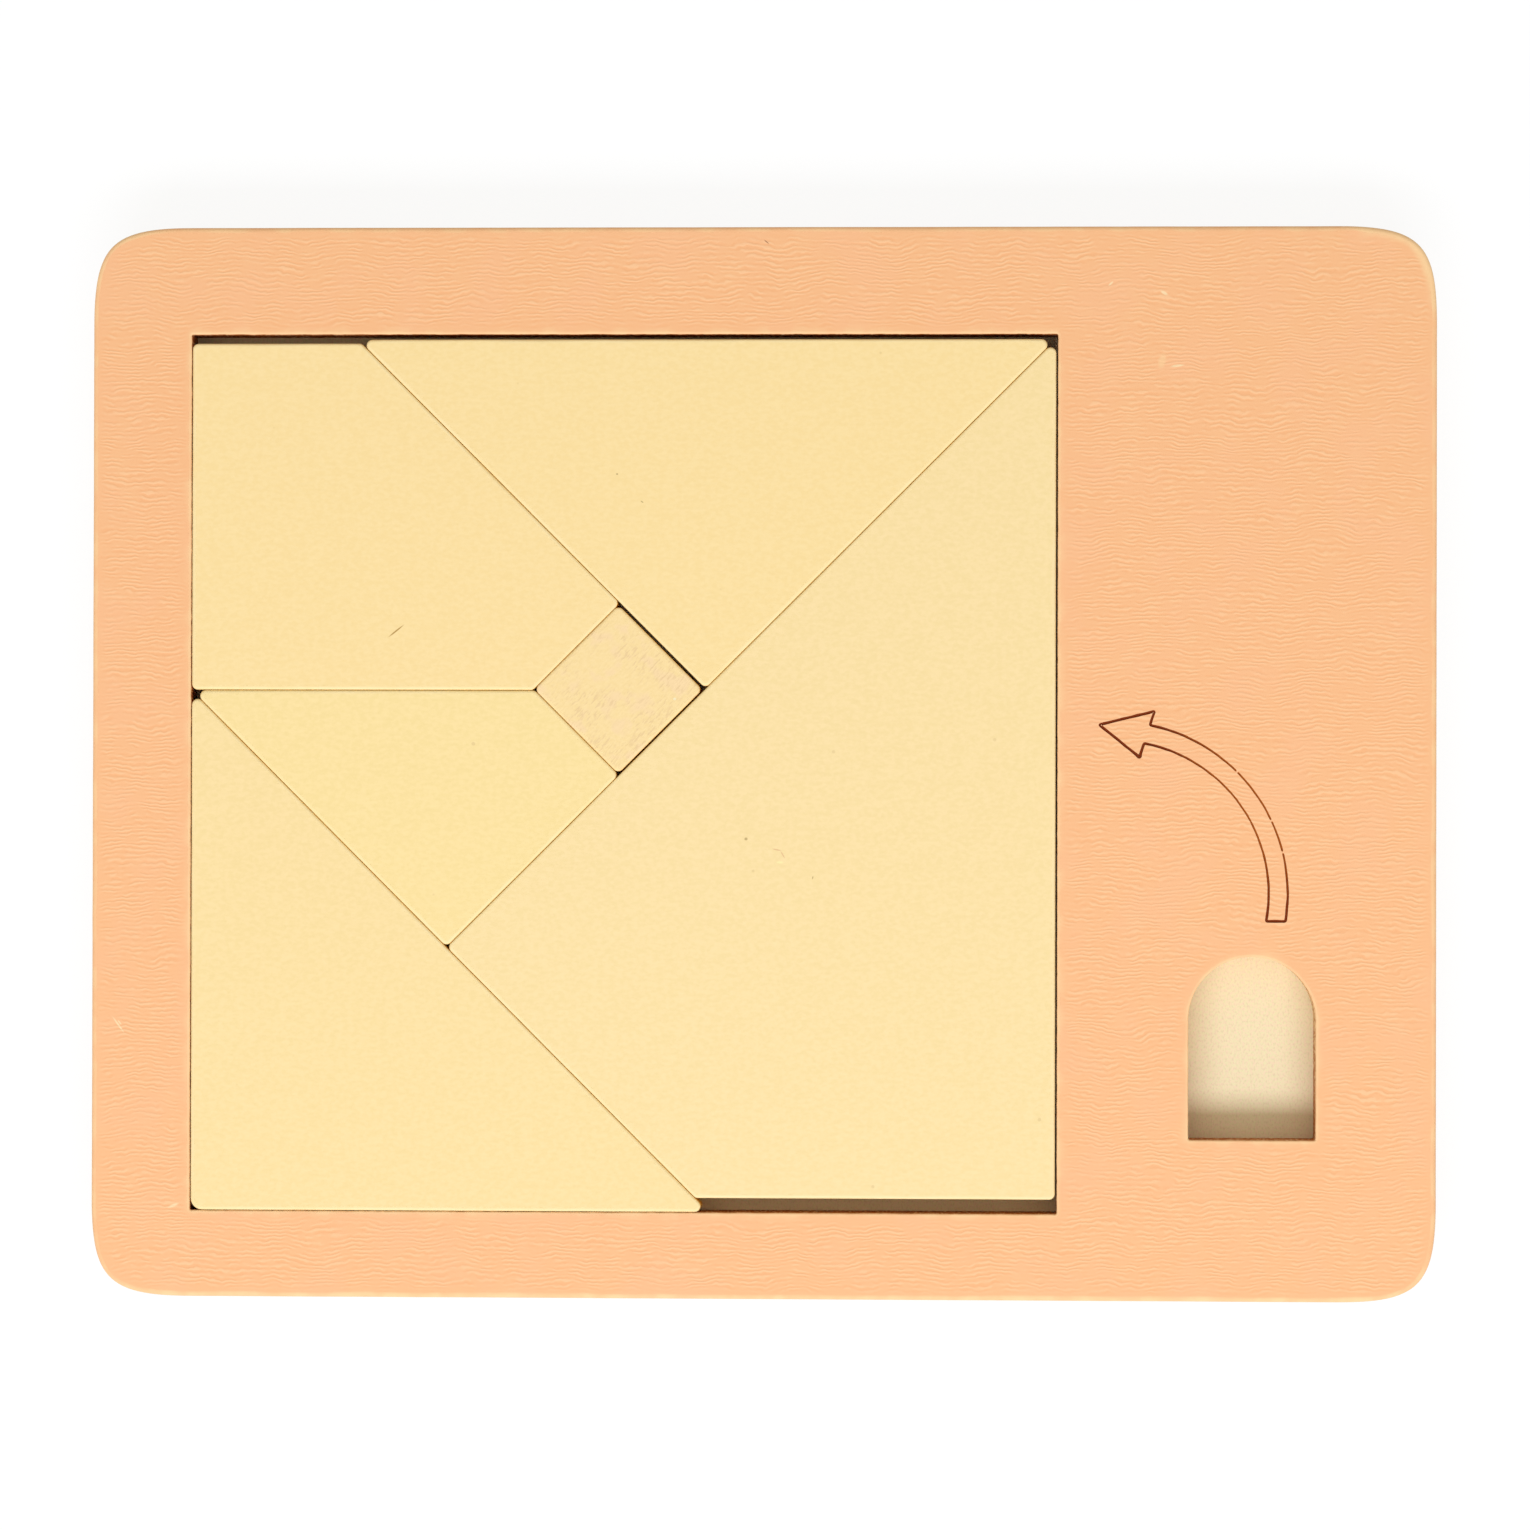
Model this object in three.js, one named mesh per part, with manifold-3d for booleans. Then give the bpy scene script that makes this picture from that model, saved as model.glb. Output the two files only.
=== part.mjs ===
// A wooden packing puzzle: a tray of two boards with a square well, six loose pieces that fill the well,
// and an arched pocket beside it where the small square is parked until the player adds it to the rest.
// Millimetres, +Z up, +X along the tray's long side. The origin is the centre of the underside.

import * as THREE from "three";
import { mergeVertices } from "three/addons/utils/BufferGeometryUtils.js";
import Module from "manifold-3d";

// Loose pieces
const packSide = 96.05; // side of the square that the pieces fill, and the kite's side along them
const kiteTrim = 0.25; // how much shorter the kite's side along the wall is
const packPlay = 0.56; // how far the pieces spread past that square from side to side
const triangleHeight = 38.97; // top triangle, from its long side to its right-angled corner
const squareSide = 13.3; // the small square
const pieceThickness = 5;
const pieceEdgeRound = 0.25; // sanded edges, above and below
const pieceTipRadius = 0.4; // corners of a piece's flat face, inside the sanded edge

// Clearances round the pieces
const seam = 0.05; // between two neighbouring pieces, where no wider gap is given
const gapSquareTriangle = 0.32; // between the small square and the triangle above it
const gapSquareKite = 0.2; // between the small square and the kite
const gapLeftOfPieces = 0.08;
const gapRightOfKite = 0.2;
const gapAboveTriangle = 0.58;
const gapAbovePentagon = 1.02;
const gapBelowKite = 1.62;
const gapBelowTriangle = 0.05;
const pocketSideClearance = 0.4; // on each side of the parked small square
const pocketEndClearance = 0.04; // between the parked small square and the foot of the arch

// Tray
const baseThickness = 3;
const frameThickness = 5;
const leftBar = 11.07; // frame left of the well
const topBar = 11.97; // frame above the well
const bottomBar = 9.63; // frame below the well
const bridge = 14.59; // frame between the well and the pocket
const rightBar = 13.35; // frame right of the pocket
const pocketBar = 17.95; // frame below the pocket
const cornerReach = 11; // where the outline starts to curve, measured from each corner
const cornerFullness = 0.83; // how far the curve is drawn towards the corner: 0.55 is a circle, 1 is full
const rimRound = 0.5; // sanded outer edges of the tray
const holeRound = 0.2; // eased upper edges of the well and the pocket

// Engraved arrow, whose shaft bends from the pocket round to the well
const arrowTailGap = 3.96; // above the pocket
const arrowTailOffset = 2.62; // from the pocket's centre line to the middle of the tail
const arrowTailDrop = 3.05; // from the centre of the bend down to the tail
const arrowRadius = 18.05; // bend of the shaft's centre line
const arrowSweep = 78.9; // degrees above level where the shaft meets the head
const arrowShaftWidth = 2.1;
const arrowHeadLength = 5.41;
const arrowHeadWidth = 5.36;
const arrowHeadTilt = 7; // degrees that the back of the head leans off the shaft's radius
const lineWidth = 0.25;
const lineDepth = 0.25;

// Finish: colour and roughness of each kind of surface
const apricotPaint = { color: 0xfcc291, roughness: 0.7 };
const yellowPaint = { color: 0xfde3a6, roughness: 0.6 };
const paleWood = { color: 0xf8e3b9, roughness: 0.8 };

// Fineness of the curved surfaces, in straight steps
const edgeSteps = 3;
const tipSteps = 3;
const cornerSteps = 12;
const archSteps = 10;
const arrowSteps = 24;

const cutMargin = 2; // how far a cutting body runs past what it cuts
const mergeDistance = 1e-4; // points closer than this are one point

const wasm = await Module();
wasm.setup();

// Places that follow from the sizes
const wellWidth = gapLeftOfPieces + packSide + packPlay + gapRightOfKite;
const wellHeight = gapAboveTriangle + packSide - kiteTrim + gapBelowKite;
const pocketWidth = squareSide + 2 * pocketSideClearance;
const archRadius = pocketWidth / 2;
const boardLength = leftBar + wellWidth + bridge + pocketWidth + rightBar;
const boardWidth = bottomBar + wellHeight + topBar;
const boardThickness = baseThickness + frameThickness;

const wellLeft = leftBar - boardLength / 2;
const wellRight = wellLeft + wellWidth;
const wellBottom = bottomBar - boardWidth / 2;
const wellTop = wellBottom + wellHeight;

const pocketLeft = wellRight + bridge;
const pocketRight = pocketLeft + pocketWidth;
const pocketMiddle = pocketLeft + archRadius;
const pocketBottom = pocketBar - boardWidth / 2;
const archFoot = pocketBottom + squareSide + pocketEndClearance;
const pocketTop = archFoot + archRadius;

// Solids for cutting and joining

function solidFrom(geometry) {
  const bare = geometry.clone();
  bare.deleteAttribute("normal");
  bare.deleteAttribute("uv");
  const merged = mergeVertices(bare, mergeDistance);
  const mesh = new wasm.Mesh({
    numProp: 3,
    vertProperties: merged.attributes.position.array,
    triVerts: new Uint32Array(merged.index.array),
  });
  return new wasm.Manifold(mesh);
}

function geometryFrom(solid) {
  const mesh = solid.getMesh();
  const geometry = new THREE.BufferGeometry();
  geometry.setAttribute("position", new THREE.BufferAttribute(mesh.vertProperties, 3));
  geometry.setIndex(new THREE.BufferAttribute(mesh.triVerts, 1));
  geometry.computeVertexNormals();
  return geometry;
}

// A flat board standing on z = 0, with its upper and lower edges rounded inside the shape's outline.
function roundedSlab(shape, thickness, edgeRound, curveSegments) {
  const geometry = new THREE.ExtrudeGeometry(shape, {
    depth: thickness - 2 * edgeRound,
    bevelThickness: edgeRound,
    bevelSize: edgeRound,
    bevelOffset: -edgeRound,
    bevelSegments: edgeSteps,
    curveSegments,
  });
  return geometry.translate(0, 0, edgeRound);
}

// A block wider than the tray, between two heights.
function layer(bottom, top) {
  const length = boardLength + 2 * cutMargin;
  const width = boardWidth + 2 * cutMargin;
  const block = new THREE.BoxGeometry(length, width, top - bottom);
  return solidFrom(block.translate(0, 0, (bottom + top) / 2));
}

// Outlines

function outwardNormal(from, to) {
  const along = to.clone().sub(from).normalize();
  return new THREE.Vector2(along.y, -along.x);
}

// The step from a corner of an anticlockwise outline that moves both of its sides outwards by one.
function cornerStep(corners, index) {
  const corner = corners[index];
  const normalIn = outwardNormal(corners.at(index - 1), corner);
  const normalOut = outwardNormal(corner, corners[(index + 1) % corners.length]);
  const step = normalIn.clone().add(normalOut).divideScalar(1 + normalIn.dot(normalOut));
  return { step, normalIn, normalOut };
}

function grownOutline(corners, distance) {
  return corners.map((corner, index) => {
    const { step } = cornerStep(corners, index);
    return corner.clone().addScaledVector(step, distance);
  });
}

function roundedPolygon(corners, radius) {
  const shape = new THREE.Shape();
  corners.forEach((corner, index) => {
    const { step, normalIn, normalOut } = cornerStep(corners, index);
    const centre = corner.clone().addScaledVector(step, -radius);
    shape.absarc(centre.x, centre.y, radius, normalIn.angle(), normalOut.angle(), false);
  });
  return shape;
}

function rectangle(path, left, bottom, right, top) {
  path.moveTo(left, bottom);
  path.lineTo(right, bottom);
  path.lineTo(right, top);
  path.lineTo(left, top);
  path.closePath();
  return path;
}

// The tray's outline, whose corners are softer than circles.
function trayOutline() {
  const x = boardLength / 2;
  const y = boardWidth / 2;
  const straightX = x - cornerReach;
  const straightY = y - cornerReach;
  const pullX = straightX + cornerReach * cornerFullness;
  const pullY = straightY + cornerReach * cornerFullness;
  const shape = new THREE.Shape();
  shape.moveTo(-straightX, -y);
  shape.lineTo(straightX, -y);
  shape.bezierCurveTo(pullX, -y, x, -pullY, x, -straightY);
  shape.lineTo(x, straightY);
  shape.bezierCurveTo(x, pullY, pullX, y, straightX, y);
  shape.lineTo(-straightX, y);
  shape.bezierCurveTo(-pullX, y, -x, pullY, -x, straightY);
  shape.lineTo(-x, -straightY);
  shape.bezierCurveTo(-x, -pullY, -pullX, -y, -straightX, -y);
  return shape;
}

function pocketOutline() {
  const path = new THREE.Path();
  path.moveTo(pocketLeft, pocketBottom);
  path.lineTo(pocketRight, pocketBottom);
  path.absarc(pocketMiddle, archFoot, archRadius, 0, Math.PI, false);
  path.closePath();
  return path;
}

// The arrow's outline along the middle of its engraved line, anticlockwise from the tail's outer corner.
function arrowOutline() {
  const tailMiddle = pocketMiddle + arrowTailOffset;
  const centre = new THREE.Vector2(
    tailMiddle - Math.sqrt(arrowRadius ** 2 - arrowTailDrop ** 2),
    pocketTop + arrowTailGap + arrowTailDrop,
  );
  const sweep = THREE.MathUtils.degToRad(arrowSweep);
  const tilt = THREE.MathUtils.degToRad(arrowHeadTilt);
  const neck = new THREE.Vector2(Math.cos(sweep), Math.sin(sweep)).multiplyScalar(arrowRadius);
  const headBack = new THREE.Vector2(Math.cos(sweep - tilt), Math.sin(sweep - tilt));
  const onHeadBack = (distance) => neck.clone().addScaledVector(headBack, distance);
  const outerRadius = arrowRadius + arrowShaftWidth / 2;
  const innerRadius = arrowRadius - arrowShaftWidth / 2;
  const notchAngle = (radius) => {
    const reach = Math.sqrt(radius ** 2 - (arrowRadius * Math.sin(tilt)) ** 2);
    return onHeadBack(reach - arrowRadius * Math.cos(tilt)).angle();
  };
  const shaftLine = (radius) => {
    const tailAngle = -Math.asin(arrowTailDrop / radius);
    const arc = new THREE.EllipseCurve(0, 0, radius, radius, tailAngle, notchAngle(radius), false);
    return arc.getPoints(arrowSteps);
  };
  const tip = neck.clone().add(new THREE.Vector2(-neck.y, neck.x).setLength(arrowHeadLength));
  const outline = [
    ...shaftLine(outerRadius),
    onHeadBack(arrowHeadWidth / 2),
    tip,
    onHeadBack(-arrowHeadWidth / 2),
    ...shaftLine(innerRadius).reverse(),
  ];
  return outline.map((point) => point.add(centre));
}

// Tray

// Both boards are glued together and sanded as one block, which is then thought of as cut into its layers.
const trayBlock = solidFrom(roundedSlab(trayOutline(), boardThickness, rimRound, cornerSteps));

function baseBoard() {
  return geometryFrom(trayBlock.intersect(layer(-cutMargin, baseThickness)));
}

// A sheet wider than the tray, with the well and the pocket through it and their upper edges eased.
function sheetWithHoles() {
  const x = boardLength / 2 + cutMargin;
  const y = boardWidth / 2 + cutMargin;
  const sheet = rectangle(new THREE.Shape(), -x, -y, x, y);
  sheet.holes.push(rectangle(new THREE.Path(), wellLeft, wellBottom, wellRight, wellTop));
  sheet.holes.push(pocketOutline());
  const bottom = baseThickness - cutMargin;
  const slab = roundedSlab(sheet, boardThickness - bottom, holeRound, archSteps);
  return solidFrom(slab.translate(0, 0, bottom));
}

function arrowGroove() {
  const outline = arrowOutline();
  const band = new THREE.Shape(grownOutline(outline, lineWidth / 2));
  band.holes.push(new THREE.Path(grownOutline(outline, -lineWidth / 2)));
  const groove = new THREE.ExtrudeGeometry(band, { depth: lineDepth + cutMargin, bevelEnabled: false });
  return solidFrom(groove.translate(0, 0, boardThickness - lineDepth));
}

function frame() {
  const upperLayer = trayBlock.intersect(layer(baseThickness, boardThickness + cutMargin));
  return geometryFrom(upperLayer.intersect(sheetWithHoles()).subtract(arrowGroove()));
}

// Loose pieces, fitted to each other along seams that run level or at 45 degrees.
// A falling seam keeps the sum x + y, and a rising seam keeps the difference x - y.

const diagonalSeam = seam * Math.SQRT2;
const packRight = wellRight - gapRightOfKite;
const packLeft = wellLeft + gapLeftOfPieces;
const packTop = wellTop - gapAboveTriangle;
const kiteBottom = wellBottom + gapBelowKite;

const kiteSum = packRight + packTop - packSide * Math.SQRT2;
const kiteDifference = packRight - packTop;
const besideKite = kiteDifference - diagonalSeam;
const trapezoidTop = kiteSum - packLeft;
const pentagonBottom = trapezoidTop + seam;
const triangleSum = besideKite + 2 * (packTop - triangleHeight);

const squareSumHigh = triangleSum - gapSquareTriangle * Math.SQRT2;
const squareSumLow = squareSumHigh - squareSide * Math.SQRT2;
const squareDifferenceHigh = kiteDifference - gapSquareKite * Math.SQRT2;
const squareDifferenceLow = squareDifferenceHigh - squareSide * Math.SQRT2;

const at = (x, y) => new THREE.Vector2(x, y);
const atCrossing = (sum, difference) => at((sum + difference) / 2, (sum - difference) / 2);
const onFalling = (sum, y) => at(sum - y, y);
const onRising = (difference, y) => at(difference + y, y);

function cornerPentagon() {
  const top = wellTop - gapAbovePentagon;
  const besideTriangle = triangleSum - diagonalSeam;
  const besideSquare = squareDifferenceLow - diagonalSeam;
  return [
    at(packLeft, top),
    at(packLeft, pentagonBottom),
    onRising(besideSquare, pentagonBottom),
    atCrossing(besideTriangle, besideSquare),
    onFalling(besideTriangle, top),
  ];
}

function topTriangle() {
  return [
    onFalling(triangleSum, packTop),
    atCrossing(triangleSum, besideKite),
    onRising(besideKite, packTop),
  ];
}

function largeKite() {
  return [
    at(packRight, packTop),
    atCrossing(kiteSum, kiteDifference),
    onFalling(kiteSum, kiteBottom),
    at(packRight, kiteBottom),
  ];
}

function trapezoid() {
  const besideSquare = squareSumLow - diagonalSeam;
  return [
    at(packLeft, trapezoidTop),
    atCrossing(kiteSum, besideKite),
    atCrossing(besideSquare, besideKite),
    onFalling(besideSquare, trapezoidTop),
  ];
}

function cornerTriangle() {
  const bottom = wellBottom + gapBelowTriangle;
  const longSide = kiteSum - diagonalSeam;
  return [
    at(packLeft, longSide - packLeft),
    at(packLeft, bottom),
    onFalling(longSide, bottom),
  ];
}

function smallSquare() {
  return [
    atCrossing(squareSumHigh, squareDifferenceLow),
    atCrossing(squareSumLow, squareDifferenceLow),
    atCrossing(squareSumLow, squareDifferenceHigh),
    atCrossing(squareSumHigh, squareDifferenceHigh),
  ];
}

function pieceGeometry(corners) {
  const outline = roundedPolygon(corners, pieceEdgeRound + pieceTipRadius);
  return roundedSlab(outline, pieceThickness, pieceEdgeRound, tipSteps);
}

// Assembly

function part(name, geometry, finish) {
  const material = new THREE.MeshStandardMaterial({ metalness: 0, ...finish });
  const mesh = new THREE.Mesh(geometry, material);
  mesh.name = name;
  return mesh;
}

const loosePieces = new THREE.Group();
loosePieces.position.z = baseThickness;
loosePieces.add(
  part("corner_pentagon", pieceGeometry(cornerPentagon()), yellowPaint),
  part("top_triangle", pieceGeometry(topTriangle()), yellowPaint),
  part("large_kite", pieceGeometry(largeKite()), yellowPaint),
  part("trapezoid", pieceGeometry(trapezoid()), yellowPaint),
  part("corner_triangle", pieceGeometry(cornerTriangle()), yellowPaint),
  part("small_square", pieceGeometry(smallSquare()), yellowPaint),
);

const puzzle = new THREE.Group();
puzzle.add(
  part("base_board", baseBoard(), paleWood),
  part("frame", frame(), apricotPaint),
  loosePieces,
);

export default puzzle;
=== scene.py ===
"""Looks of a wooden tray puzzle: painted boards, sanded edges, laser-browned cuts and an engraved arrow.

Lengths are in millimetres while a shape is worked out, and in metres once it is a mesh, as they are in
the CAD frame.
"""

import math

import bmesh
import bpy
from mathutils import Euler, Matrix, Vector, noise
from mathutils.geometry import convex_hull_2d, interpolate_bezier


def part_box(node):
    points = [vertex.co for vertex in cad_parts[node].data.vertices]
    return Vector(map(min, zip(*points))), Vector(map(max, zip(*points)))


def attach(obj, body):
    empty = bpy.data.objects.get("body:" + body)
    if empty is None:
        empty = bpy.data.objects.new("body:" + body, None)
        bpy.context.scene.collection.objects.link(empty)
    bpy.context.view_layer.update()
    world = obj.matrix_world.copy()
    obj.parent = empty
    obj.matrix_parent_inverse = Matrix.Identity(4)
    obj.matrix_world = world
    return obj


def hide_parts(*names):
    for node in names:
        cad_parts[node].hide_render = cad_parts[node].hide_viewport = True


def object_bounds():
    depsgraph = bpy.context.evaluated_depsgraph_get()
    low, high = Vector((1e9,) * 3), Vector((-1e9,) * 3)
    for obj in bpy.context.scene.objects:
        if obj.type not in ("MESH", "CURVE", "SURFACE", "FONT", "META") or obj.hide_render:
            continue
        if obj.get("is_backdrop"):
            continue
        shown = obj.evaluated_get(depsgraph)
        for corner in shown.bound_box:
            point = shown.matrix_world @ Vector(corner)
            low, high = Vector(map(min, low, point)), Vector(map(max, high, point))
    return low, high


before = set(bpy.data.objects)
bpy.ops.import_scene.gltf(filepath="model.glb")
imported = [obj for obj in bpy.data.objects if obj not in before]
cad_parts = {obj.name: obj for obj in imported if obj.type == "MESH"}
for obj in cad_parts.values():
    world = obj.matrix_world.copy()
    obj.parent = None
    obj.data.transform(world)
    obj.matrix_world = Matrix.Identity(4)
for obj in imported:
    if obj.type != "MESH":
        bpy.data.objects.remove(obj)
cad_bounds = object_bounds()

MM = 0.001

# Tray
CORNER_REACH = 11  # where the outline starts to curve, measured from each corner
CORNER_FULLNESS = 0.83  # how far the curve is drawn towards the corner
RIM_RADIUS = 0.5  # sanded outer edges
HOLE_RADIUS = 0.2  # eased upper edges of the well and the pocket
HOLE_CORNER = 0.2  # inner corners of the well and the pocket
RIM_SIDE_CLEAR = 2  # from the face to the flat of the side, in radii of the sanded edge
HOLE_RAGGED = 0.035  # how far the cut edges stray
RAGGED_FINE = 0.7  # over this size, and less so over the next one
RAGGED_COARSE = 2.5
FOOT_RAGGED = 0.4  # share of the straying at the foot of the wall
RIM_WEAR = 0.28  # how thin the paint is on the sanded edge along the straight sides, where 1 is bare wood
CORNER_WEAR = {(1, 1): 0.6, (-1, 1): 0.4, (-1, -1): 0.3, (1, -1): 0.3}  # the same at each corner
CORNER_WEAR_REACH = 5  # how far into a corner the wear grows
RIM_BAND = 0.9  # width of the worn strip of the face at the most worn corner
STRIP_WEAR = 2.5  # how fast that strip wears, once the edge is worn to STRIP_WEAR_START
STRIP_WEAR_START = 0.4
HOLE_WEAR = 0.4  # how thin the paint is on the edges of the well and the pocket
ARCH_PALER = 0.3  # how much paler the pocket's arch is than the other walls: partly less scorch, partly painted light where its walls face the lamp
GLUE_GROOVE = 0.07  # depth of the fine line where the two boards meet
CALM_RIM = 1.2  # width of the strip along the rim where the ripples of the paint fade
CALM_RIM_RIPPLE = 0.7  # share of them at the inner side of the worn strip
CALM_HOLE = 1.6  # width of such a strip round the well and the pocket
CALM_HOLE_RIPPLE = 0.35  # share of them halfway across it

# Loose pieces
TIP_RADIUS = 0.65  # corners, seen from above
BLUNT_TIP_RADIUS = 1.3  # the same at the square corner of the piece in the lower left of the well
EDGE_RADIUS = 0.3  # sanded upper edges
UNDER_EDGE_RADIUS = 0.3
SANDING = 0.25  # how unevenly the edges are sanded
SANDING_SIZE = 7  # over this length, and half as much over the next one
SANDING_FINE_SIZE = 2.3
SHORTEST_SIDE = 3  # a shorter run of the outline belongs to a rounded corner
UNDER_SIDE_CLEAR = 2  # from each face to the flat of the side, in radii of its sanded edge
UPPER_SIDE_CLEAR = 1.7

# Engraved arrow
ARROW_TAIL_GAP = 3.96  # above the pocket
ARROW_TAIL_OFFSET = 2.62  # from the pocket's centre line to the middle of the tail
ARROW_TAIL_DROP = 3.05  # from the centre of the bend down to the tail
ARROW_RADIUS = 18.05
ARROW_SWEEP = math.radians(78.9)
ARROW_SHAFT_WIDTH = 2.1
ARROW_HEAD_LENGTH = 5.41
ARROW_HEAD_WIDTH = 5.36
ARROW_HEAD_TILT = math.radians(7)
LINE_WIDTH = 0.32  # at the head and the tail
LINE_DEPTH = 0.2
LINE_FAINT = 0.66  # share of that width and depth in the middle of the shaft
LINE_WOBBLE = 0.03
LINE_WOBBLE_SIZE = 1.4
LINE_STEP = 0.1  # between two points of the line
LINE_BREAK = 0.18  # reach of the spots where the line nearly stops
LINE_BREAK_WIDTH = 0.4  # shares of the width and of the depth that are left there
LINE_BREAK_DEPTH = 0.1
LINE_BREAKS = [math.radians(angle) for angle in (14, 25.2, 45.2)]  # round the shaft's outer line
LINE_DWELL = 0.4  # reach of the wide spot at the lower barb, where the laser starts
LINE_DWELL_WIDER = 0.6  # how much wider it is there
LINE_UNEVEN = 0.2  # how much the width varies elsewhere
LINE_UNEVEN_SIZE = 0.9
LINE_PROFILE = ((1, 0), (0.6, 0.7), (0, 1), (-0.6, 0.7), (-1, 0))  # shares of half the width, and of depth

# Small marks, each with its place, length, width and turn in degrees
PALE_MARKS = [
    ((38.8, 53.4), 0.9, 0.3, 42),
    ((44.73, 52.35), 1.15, 0.45, -28),
    ((46.2, 44.25), 1.9, 0.36, 6),
    ((-72, -29.45), 2.8, 0.26, -54),
    ((-71.85, -29.2), 0.8, 0.22, -50),
    ((-65.75, -49.65), 1.6, 0.4, 22),
]
PALE_SMEAR = ((44.5, 44.8), 2.2, 1.1, 78)
DARK_MARKS = [((0.45, 58.1), 0.9, 0.16, -40)]
PIECE_SCRATCHES = [((-40.9, 14.65), 2.7, 0.23, 38.7)]
PIECE_SPECKS = [
    ((-1.7, -8.5), 0.5, 0.45, 0),
    ((5.75, -12.8), 0.5, 0.17, 80),
    ((-16.2, 32.2), 0.34, 0.26, 0),
    ((-13.4, 29.1), 0.5, 0.18, -35),
]
# A dent drawn in colour only: darker strokes that are marked paint and painted shade, and a painted
# highlight below them
PIECE_DENT = [((1.75, -9.7), 1.3, 0.22, -12), ((2.4, -10.25), 1.2, 0.2, -60)]
PIECE_DENT_HIGHLIGHT = ((2.1, -11.1), 1.1, 0.35, 0)
SQUARE_SPECK = ((-9.7, 7.1), 0.45, 0.4, 0)

# Paint and wood: sizes of their features, and heights of their relief
SPECULAR_LEVEL = 0.25
PLY = 1  # thickness of one ply
RIPPLE = 0.5  # from one ripple of the frame's paint to the next
RIPPLE_HEIGHT = 0.01
RIPPLE_BEND = 3.7  # how far the rows of ripples wander
RIPPLE_BEND_SIZE = (9, 8, 9)
RIPPLE_PATCH = (1.5, 0.9, 1.5)  # ripples come and go over this size
CHAR_RELIEF = 0.02
PIECE_RELIEF = 0.02
SQUARE_RELIEF = 0.03
WOOD_RELIEF = 0.012
SQUARE_GRAIN_TURN = -50  # degrees
BACK_GRAIN_TURN = 4
BACK_LOOPS = 45  # how closely the loops of the underside's grain follow each other

# Colours in linear red, green and blue, from dark to pale where there are two and nothing else is said
APRICOT = (0.948, 0.489, 0.234), (0.992, 0.586, 0.313)  # between the ripples and on them: painted shade between the ripples and painted highlights on them
APRICOT_CLOUD = (0.974, 0.527, 0.283)
THIN_APRICOT = (0.985, 0.65, 0.34)
PALE_MARK_COLOUR = (0.98, 0.72, 0.42)
PALE_SMEAR_COLOUR = (0.985, 0.6, 0.31)
DARK_MARK_COLOUR = (0.42, 0.2, 0.1)
FRAME_SCORCH = (0.5, 0.15, 0.02), (0.88, 0.63, 0.35)
LINE_CHAR = (0.24, 0.035, 0.001), (0.44, 0.11, 0.004)
LINE_BARE = (0.93, 0.5, 0.26)
PIECE_DULL = (0.978, 0.98, 0.952)  # shares of the piece's own colour in the dull and the pale spots
PIECE_PALE = (1.016, 1.02, 1.048)
PIECE_BRIGHTEST = 0.99
PIECE_SCORCH = (0.88, 0.5, 0.06), (0.97, 0.7, 0.2)
# Paler paint on the sanded edges: thinner paint there, and a painted sheen as well
PIECE_WORN_AND_SHEEN = (0.99, 0.8, 0.44)
PIECE_FLECK_COLOUR = (0.72, 0.53, 0.25)
PIECE_SCRATCH_COLOUR = (0.5, 0.3, 0.09)
PIECE_SPECK_COLOUR = (0.58, 0.43, 0.19)
# The dent's darker strokes, marked paint and painted shade, and its painted highlight
PIECE_DENT_MARK_AND_SHADE = (0.82, 0.55, 0.28)
PIECE_DENT_HIGHLIGHT_COLOUR = (0.99, 0.85, 0.42)
SQUARE_YELLOW = (0.96, 0.724, 0.35), (0.985, 0.754, 0.384)
SQUARE_PINK = (0.97, 0.715, 0.414)
SQUARE_GRAIN = (0.8, 0.57, 0.3)
SQUARE_SPECK_COLOUR = (0.94, 0.84, 0.55)
BASE_WOOD = (0.95, 0.82, 0.525), (0.97, 0.845, 0.55)
BASE_SPECKLE = (0.97, 0.755, 0.545), (0.89, 0.835, 0.49)  # pinkish and greenish
BASE_PORE = (0.76, 0.62, 0.36)
BACK_VENEER = (0.88, 0.69, 0.42), (0.95, 0.78, 0.5)
BACK_PORE = (0.62, 0.42, 0.21)
LONG_GRAIN = (0.88, 0.6, 0.32), (0.97, 0.76, 0.45)
END_GRAIN = (0.66, 0.4, 0.18), (0.86, 0.6, 0.32)

# Fineness of the meshes
SIDE_STEP = 1.2  # between two points of a straight side
HOLE_STEP = 0.5  # the same in the well and the pocket
TIP_STEPS = 6  # round a corner of a piece or a hole
ROUND_STEPS = 5  # over a rounded edge
CORNER_STEPS = 28  # round a corner of the tray, or along the arrow's shaft
ARCH_STEPS = 48  # round the pocket's arch
TIGHTEST_BEND = 0.03  # of a ring's corner
SUPPORT = 0.15  # width of the flat strip that keeps a face's shading flat beside its rounded edge

# View: the picture is PICTURE pixels square
PICTURE = 1530
PIXEL = 0.11148  # millimetres on the tray's upper face
PICTURE_CENTRE = Vector((0.4, -0.25))  # the point of that face in the middle of the picture
CAMERA_HEIGHT = 650
CAMERA_LEAN_X = math.radians(2.32)
CAMERA_LEAN_Y = math.radians(-0.38)
CAMERA_ROLL = math.radians(0.13)

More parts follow.
